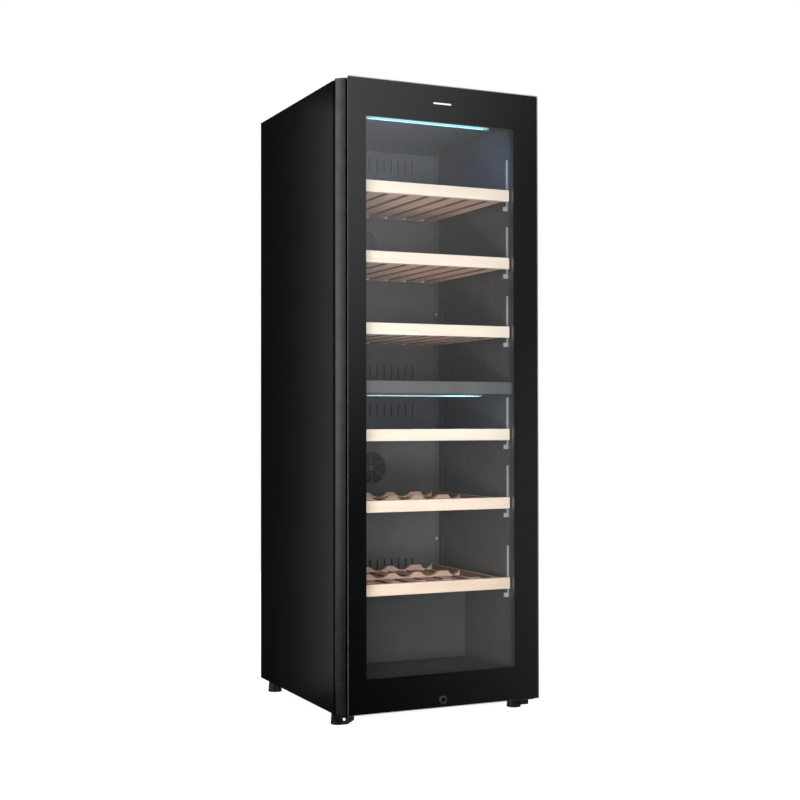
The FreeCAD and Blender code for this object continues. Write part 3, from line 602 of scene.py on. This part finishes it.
flat_shape(
    "border_print", [outer, window, lock_hole], GLASS_HIGH.y + 0.02 * MM, GLASS_HIGH.y + 0.3 * MM,
    "door", PRINT,
)

BADGE_Z = 1.665
badge = shifted(rounded_outline(27 * MM, 2.2 * MM, 2.1 * MM), 0, BADGE_Z)
flat_shape(
    "front_badge", [badge], GLASS_LOW.y - 0.25 * MM, GLASS_LOW.y + 0.05 * MM,
    "door", GLOWING_BADGE,
)

SEAL_PROFILE = [  # inset from the seal's outer edge and depth behind the door frame, in millimetres
    (0, 0), (18, 0), (18, 1.2), (15.5, 4.2), (12.5, 5.0), (15.5, 6.6), (15.0, 9.2), (16.0, 10.6),
    (15.2, 12.2), (3.0, 12.2), (2.2, 10.6), (3.2, 9.2), (2.6, 6.6), (5.5, 5.0), (2.5, 4.2), (0, 1.2),
]
seal = bmesh.new()
mitred_ring(
    seal, [(inset * MM, GASKET_LOW.y + depth * MM) for inset, depth in SEAL_PROFILE],
    GASKET_HIGH.x, GASKET_LOW.z, GASKET_HIGH.z,
)
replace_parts(piece("door_seal", seal, "door", LOOKS["gasket_black"]), "door_gasket")

# ---- light strips: the diodes under each lens -------------------------------------------------


def diode_row(name, x_from, x_to, y, z, size):
    row = bmesh.new()
    count = int((x_to - x_from) / DIODE_PITCH)
    for i in range(count + 1):
        turned(row, [(size, 0), (size, 0.3 * MM), (size * 0.7, 0.6 * MM), (size * 0.2, 0.7 * MM)],
               (x_from + i * DIODE_PITCH, y, z), (0, 0, -1), 8)
    return piece(name, row, "cabinet", DIODE, smooth=True)


diode_row("upper_diodes", -0.178, 0.178, UPPER_LENS_Y, UPPER_LENS_Z, 1.5 * MM)
diode_row("lower_diodes", -0.200, 0.152, LOWER_LENS_Y, LOWER_LENS_Z, 1.2 * MM)

# ---- control panel: displays and touch marks --------------------------------------------------
SEGMENTS = {
    "top": ((0, 2), (1, 0)), "middle": ((0, 0), (1, 0)), "bottom": ((0, -2), (1, 0)),
    "upper_left": ((-1, 1), (0, 1)), "upper_right": ((1, 1), (0, 1)),
    "lower_left": ((-1, -1), (0, 1)), "lower_right": ((1, -1), (0, 1)),
}
DIGITS = {
    "1": ("upper_right", "lower_right"),
    "2": ("top", "upper_right", "middle", "lower_left", "bottom"),
    "6": ("top", "upper_left", "middle", "lower_left", "lower_right", "bottom"),
}


def bar(shape, x, z, half_x, half_z, y_front, y_back):
    """A small bar with its front edges drawn in."""
    loops = []
    for y, grow in ((y_back, 1.0), (y_front, 0.8)):
        loops.append([shape.verts.new((x + sx * half_x * grow, y, z + sz * half_z * grow))
                      for sx, sz in ((-1, -1), (1, -1), (1, 1), (-1, 1))])
    bridge(shape, loops)
    shape.faces.new(loops[1])
    shape.faces.new(loops[0])


DIGIT_PITCH, SEGMENT_STEP = 5.5 * MM, 1.6 * MM
SEGMENT_LONG, SEGMENT_SHORT = 1.2 * MM, 0.3 * MM
MARK_RADIUS, MARK_PITCH, MARK_RELIEF = 1.3 * MM, 7.5 * MM, 0.12 * MM
icons = bmesh.new()
panel_front = PANEL_LOW.y
middle_z = (PANEL_LOW.z + PANEL_HIGH.z) / 2
digits_z = middle_z + 3.5 * MM
marks_z = middle_z - 6 * MM
for text, start in (("12", PANEL_LOW.x + 7 * MM), ("16", PANEL_LOW.x + 26 * MM)):
    for place, digit in enumerate(text):
        for segment in DIGITS[digit]:
            (cx, cz), (along_x, along_z) = SEGMENTS[segment]
            bar(
                icons, start + place * DIGIT_PITCH + cx * SEGMENT_STEP, digits_z + cz * SEGMENT_STEP,
                SEGMENT_LONG if along_x else SEGMENT_SHORT, SEGMENT_LONG if along_z else SEGMENT_SHORT,
                panel_front - MARK_RELIEF, panel_front,
            )
for i in range(5):
    x = PANEL_LOW.x + 5 * MM + i * MARK_PITCH
    turned(icons, [(MARK_RADIUS, 0), (MARK_RADIUS, MARK_RELIEF)], (x, panel_front, marks_z), (0, -1, 0), 20)
piece("touch_marks", icons, "cabinet", ICON)

# ---- temperature sensors on the slanted beads in the right-hand back corner -------------------
sensors = bmesh.new()
BEAD_MIDDLE = (0.24665, GLASS_LOW.y + 0.5387)
BEAD_FACING = (-0.952, -0.306, 0)
SENSOR_HEIGHTS = (1.140, 0.441)
SENSOR_PROFILE = [(5, 0), (5, 0.8), (4.2, 2), (2.5, 2.8), (0.6, 3)]
for z in SENSOR_HEIGHTS:
    turned(sensors, [(r * MM, d * MM) for r, d in SENSOR_PROFILE], (*BEAD_MIDDLE, z), BEAD_FACING)
piece("temperature_sensors", sensors, "cabinet", SENSOR, smooth=True)

# ---- back: hooded louvres and socket-headed screws --------------------------------------------
hoods = bmesh.new()
HOOD_STEPS = 10
HOOD_ARC_STEPS = 5
HOOD_ROWS, HOOD_PITCH, FIRST_HOOD_Z = 10, 18 * MM, 80 * MM
HOOD_HALF, HOOD_DEPTH, HOOD_HEIGHT = 52 * MM, 3.6 * MM, 8.5 * MM
for column in (-0.190, -0.060, 0.070):
    for row in range(HOOD_ROWS):
        slot_low = FIRST_HOOD_Z + HOOD_PITCH * row
        loops = []
        for i in range(HOOD_STEPS + 1):
            along = 2 * i / HOOD_STEPS - 1
            swell = math.sqrt(max(0.0, 1 - along ** 6)) * 0.92 + 0.08
            x = column + along * HOOD_HALF
            loop = []
            for k in range(HOOD_ARC_STEPS + 1):
                angle = math.radians(90 * k / HOOD_ARC_STEPS)
                depth = HOOD_DEPTH * swell * math.cos(angle)
                rise = HOOD_HEIGHT * math.sin(angle)
                loop.append(hoods.verts.new((x, COVER_HIGH.y + 0.02 * MM + depth, slot_low + rise)))
            loops.append(loop)
        bridge(hoods, loops, closed=False)
louvres = piece("louvre_hoods", hoods, "cabinet", LOOKS["rear_sheet"], smooth=True)
thicken = louvres.modifiers.new("sheet", "SOLIDIFY")
thicken.thickness = 0.5 * MM
thicken.offset = 1.0


HEAD_RADIUS, HEAD_HEIGHT = 4 * MM, 2 * MM
HEAD_STEPS = 24
DOME = ((1.0, 0.0), (1.0, 0.35), (0.86, 0.75), (0.62, 1.0))  # parts of the radius and of the height
SOCKET = ((0.46, 0.97), (0.46, 0.3))


def socket_screw(shape, x, y, z):
    """Domed head with a hexagon socket, facing backwards."""
    def loop(spread, lift, hexagonal):
        made = []
        for i in range(HEAD_STEPS):
            angle = 2 * math.pi * i / HEAD_STEPS
            reach = HEAD_RADIUS * spread
            if hexagonal:
                reach *= math.cos(math.pi / 6) / math.cos((angle % (math.pi / 3)) - math.pi / 6)
            place = (x + reach * math.cos(angle), y + HEAD_HEIGHT * lift, z + reach * math.sin(angle))
            made.append(shape.verts.new(place))
        return made

    loops = [loop(spread, lift, False) for spread, lift in DOME]
    loops += [loop(spread, lift, True) for spread, lift in SOCKET]
    bridge(shape, loops)
    shape.faces.new(loops[0])
    shape.faces.new(loops[-1])


screws = bmesh.new()
SCREW_LOW, SCREW_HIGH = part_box("rear_screws")
screw_x = SCREW_HIGH.x - HEAD_RADIUS
sheet_screws = [(300 + 274 * i) * MM for i in range(6)]
cover_screws = [60 * MM, 260 * MM]
for side in (-1, 1):
    for z in sheet_screws + cover_screws:
        socket_screw(screws, side * screw_x, SCREW_LOW.y, z)
for x in (-0.143, 0.0, 0.143):
    socket_screw(screws, x, SCREW_LOW.y, SCREW_HIGH.z - HEAD_RADIUS)
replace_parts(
    piece("socket_screws", screws, "cabinet", LOOKS["screw_steel"], smooth=True),
    "rear_screws",
)


# ---- studio -----------------------------------------------------------------------------------
def studio_floor():
    """A pale disc that stays out of the reflections."""
    shape = bmesh.new()
    bmesh.ops.create_circle(shape, cap_ends=True, segments=96, radius=9.0)
    mesh = bpy.data.meshes.new("studio_floor")
    shape.to_mesh(mesh)
    shape.free()
    made = bpy.data.objects.new("studio_floor", mesh)
    bpy.context.scene.collection.objects.link(made)
    look = Look("pale_floor", (0.3, 0.3, 0.3), 0.9, Specular_IOR_Level=0.0)
    look.tint(look.noise(0.8, 3.0), (0.29, 0.29, 0.29), (0.31, 0.31, 0.31))
    look.shader.inputs["Emission Color"].default_value = (1, 1, 1, 1)
    look.shader.inputs["Emission Strength"].default_value = 0.92
    mesh.materials.append(look.material)
    made.visible_glossy = False
    made.visible_diffuse = False


def direction(azimuth, elevation):
    """Unit vector. Azimuth is measured from -Y towards +X, in degrees."""
    a, e = math.radians(azimuth), math.radians(elevation)
    return math.sin(a) * math.cos(e), -math.cos(a) * math.cos(e), math.sin(e)


SOFT_PATCHES = (
    # azimuth and elevation of the middle, inner and outer radius, brightness, and the two elevations
    # between which the patch fades in from below, all angles in degrees
    (5, 19, 15.5, 29.5, 0.95, -90, -89),
    (38, -3, 3, 18, 0.35, -90, -89),
    (-85, 8, 10, 62, 1.1, -12, 1),
    (112, 8, 10, 50, 0.8, -12, 1),
)
SKY_BAND = (22, 42, 0.5)  # the elevations between which it fades in, and its brightness
GROUND_BAND = (-20, -42, 0.3)
BASE_BRIGHTNESS = 0.012
AMBIENT = 0.30


def studio_world():
    """White to the camera, an even fill for matt surfaces, and soft patches of light for glossy ones."""
    world = bpy.data.worlds.new("studio")
    bpy.context.scene.world = world
    world.use_nodes = True
    world.node_tree.nodes.clear()
    sky = Nodes(world.node_tree)

    def background(strength):
        made = sky.node("ShaderNodeBackground")
        made.inputs["Color"].default_value = (1, 1, 1, 1)
        sky.feed(made.inputs["Strength"], strength)
        return made.outputs[0]

    def choose(flag, otherwise, chosen):
        made = sky.node("ShaderNodeMixShader")
        for socket, source in zip(made.inputs, (flag, otherwise, chosen)):
            sky.feed(socket, source)
        return made.outputs[0]

    def level(elevation):
        return math.sin(math.radians(elevation))

    ray = sky.node("ShaderNodeTexCoord").outputs["Generated"]
    split = sky.node("ShaderNodeSeparateXYZ")
    sky.feed(split.inputs[0], ray)
    height = split.outputs["Z"]
    total = BASE_BRIGHTNESS
    for start, end, brightness in (SKY_BAND, GROUND_BAND):
        total = sky.math("ADD", sky.spread(height, level(start), level(end), 0.0, brightness), total)
    for azimuth, elevation, inner, outer_radius, brightness, fade_low, fade_high in SOFT_PATCHES:
        dot = sky.node("ShaderNodeVectorMath", operation="DOT_PRODUCT")
        sky.feed(dot.inputs[0], ray)
        dot.inputs[1].default_value = direction(azimuth, elevation)
        angle = sky.math("ARCCOSINE", dot.outputs["Value"])
        patch = sky.spread(angle, math.radians(inner), math.radians(outer_radius), brightness, 0.0)
        shown = sky.spread(height, level(fade_low), level(fade_high))
        total = sky.math("ADD", sky.math("MULTIPLY", patch, shown), total)

    path = sky.node("ShaderNodeLightPath").outputs
    seen = choose(path["Is Glossy Ray"], background(AMBIENT), background(total))
    seen = choose(path["Is Camera Ray"], seen, background(1.0))
    sky.feed(sky.node("ShaderNodeOutputWorld").inputs["Surface"], seen)


def area_light(name, place, target, width, height, power, color=(1, 1, 1), glossy=False):
    """A rectangle of light that faces its target. The camera doesn't see it."""
    light = bpy.data.lights.new(name, "AREA")
    light.shape = "RECTANGLE"
    light.size = width
    light.size_y = height
    light.energy = power
    light.color = color
    made = bpy.data.objects.new(name, light)
    bpy.context.scene.collection.objects.link(made)
    made.location = place
    made.rotation_euler = (Vector(target) - Vector(place)).to_track_quat("-Z", "Y").to_euler()
    made.visible_camera = False
    made.visible_glossy = glossy
    return made


def camera():
    """Three-quarter view from the left, at the height of the lower shelves."""
    place = (-1.68066, -3.69236, 0.80522)
    yaw, pitch, roll = 0.43243, 0.015487, -0.0014136
    forward = Vector((math.sin(yaw) * math.cos(pitch), math.cos(yaw) * math.cos(pitch), math.sin(pitch)))
    level = Vector((math.cos(yaw), -math.sin(yaw), 0.0))
    up = level.cross(forward)
    right = level * math.cos(roll) + up * math.sin(roll)
    up = up * math.cos(roll) - level * math.sin(roll)
    lens = bpy.data.cameras.new("camera")
    lens.lens = 62.704
    lens.sensor_width = 36.0
    made = bpy.data.objects.new("camera", lens)
    bpy.context.scene.collection.objects.link(made)
    turn = Matrix((right, up, -forward)).transposed().to_4x4()
    made.matrix_world = Matrix.Translation(place) @ turn
    bpy.context.scene.camera = made


studio_floor()
studio_world()
area_light("front_softbox", (-1.7, -3.4, 2.2), (0, -0.2, 1.2), 2.0, 2.2, 80)
area_light("middle_softbox", (-1.35, -2.95, 0.75), (0, -0.1, 0.95), 1.4, 0.5, 50)
area_light("low_softbox", (-1.1, -2.2, 0.25), (0, -0.2, 1.2), 1.8, 0.35, 62)
area_light("side_card", (-0.75, 0.7, 0.9), (-0.3, -0.2, 0.9), 0.15, 2.0, 0.4, glossy=True)
area_light("top_softbox", (0.35, 0.2, 3.6), (0.1, 0, 0), 1.0, 2.5, 40)
area_light("back_softbox", (0.8, 3.2, 1.6), (0, 0, 0.9), 2.2, 2.4, 60)
area_light(
    "upper_glow", (0, UPPER_LENS_Y, UPPER_LENS_Z - 3 * MM), (0, GLASS_LOW.y + 0.20, 1.45),
    0.36, 0.01, 1.0, (0.15, 0.4, 1.0),
)
area_light(
    "lower_glow", (-0.025, LOWER_LENS_Y, LOWER_LENS_Z - 3 * MM), (0, GLASS_LOW.y + 0.20, 0.7),
    0.34, 0.01, 0.4, (0.3, 0.65, 1.0),
)
camera()
bpy.context.scene.view_settings.view_transform = "Standard"
